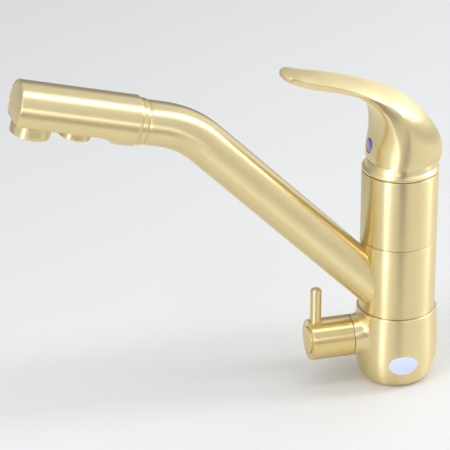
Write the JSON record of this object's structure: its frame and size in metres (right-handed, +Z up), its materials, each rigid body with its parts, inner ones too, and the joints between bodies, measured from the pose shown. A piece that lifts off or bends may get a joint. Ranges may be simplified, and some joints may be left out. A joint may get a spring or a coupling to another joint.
{
  "type": "three way filtered water tap",
  "caption": "Satin gold kitchen tap with a swivelling angled spout, a top lever for mixed water and a small side valve for filtered water, with separate outlets under the spout head.",
  "frame": {"origin": "centre of the face that stands on the worktop", "axes": "+Z up along the body column; -X the way the spout, the filter valve and the lever's blade point at rest; +Y the hot water side"},
  "size_m": [0.2707, 0.0526, 0.2287],
  "materials": {
    "satin_gold": "brushed satin gold plating",
    "raw_brass": "machined",
    "steel": "machined",
    "rubber": "matt",
    "white_plastic": "moulded",
    "grey_plastic": "moulded",
    "ceramic": "lapped",
    "hose": "extruded",
    "mark": "moulded, half blue and half red"
  },
  "bodies": {
    "base": {"base_casing": "satin_gold", "body_core": "satin_gold", "inlet_block": "raw_brass", "block_screw_front": "steel", "block_screw_rear": "steel", "inlet_seal_hot": "rubber", "inlet_seal_cold": "rubber", "inlet_seal_filtered": "rubber", "base_gasket": "rubber", "base_set_screw": "steel", "collar_seal_lower": "rubber", "collar_seal_middle": "rubber", "collar_seal_upper": "rubber", "valve_seat_seal": "rubber", "valve_fixed_disc": "ceramic", "valve_headwork": "raw_brass", "cartridge_seal_hot": "rubber", "cartridge_seal_cold": "rubber", "cartridge_seal_mixed": "rubber", "cartridge_base": "white_plastic", "cartridge_fixed_disc": "ceramic", "cartridge_housing": "grey_plastic", "cartridge_nut": "raw_brass", "dome_cap": "satin_gold"},
    "spout": {"spout_collar": "satin_gold", "spout_tube": "satin_gold", "filtered_water_hose": "hose", "lower_slip_ring": "white_plastic", "upper_slip_ring": "white_plastic", "spout_head": "satin_gold", "head_end_cap": "satin_gold", "head_ring": "satin_gold", "head_seal": "rubber", "main_outlet_shell": "satin_gold", "main_outlet_insert": "white_plastic", "main_outlet_washer": "rubber", "filtered_outlet_shell": "satin_gold", "filtered_outlet_insert": "white_plastic", "filtered_outlet_washer": "rubber"},
    "turret": {"cartridge_turret": "white_plastic", "stem_pivot_pin": "steel"},
    "lever": {"cartridge_stem": "raw_brass", "lever_handle": "satin_gold", "hot_cold_mark": "mark", "lever_grub_screw": "steel"},
    "disc": {"cartridge_moving_disc": "ceramic", "disc_carrier": "grey_plastic"},
    "knob": {"valve_moving_disc": "ceramic", "valve_spindle": "raw_brass", "valve_spindle_seal": "rubber", "knob_sleeve": "satin_gold", "pin_lever": "satin_gold", "knob_screw": "steel", "knob_cap": "satin_gold"}
  },
  "joints": [
    {"name": "spout_swivel", "type": "hinge", "parent": "base", "child": "spout", "pos_m": [0, 0, 0.073], "axis": [0, 0, 1], "continuous": true},
    {"name": "lever_turn", "type": "hinge", "parent": "base", "child": "turret", "pos_m": [0, 0, 0.1436], "axis": [0, 0, 1], "range_deg": [-50, 50]},
    {"name": "lever_lift", "type": "hinge", "parent": "turret", "child": "lever", "pos_m": [0, 0, 0.1436], "axis": [0, 1, 0], "range_deg": [0, 20]},
    {"name": "disc_slide", "type": "slide", "parent": "turret", "child": "disc", "axis": [-1, 0, 0], "range_m": [0, 0.0038]},
    {"name": "filter_valve_turn", "type": "hinge", "parent": "base", "child": "knob", "pos_m": [-0.0445, 0, 0.0312], "axis": [-1, 0, 0], "range_deg": [0, 90]}
  ],
  "couplings": [
    {"joint": "disc_slide", "follows": "lever_lift", "m_per_rad": 0.0107}
  ]
}
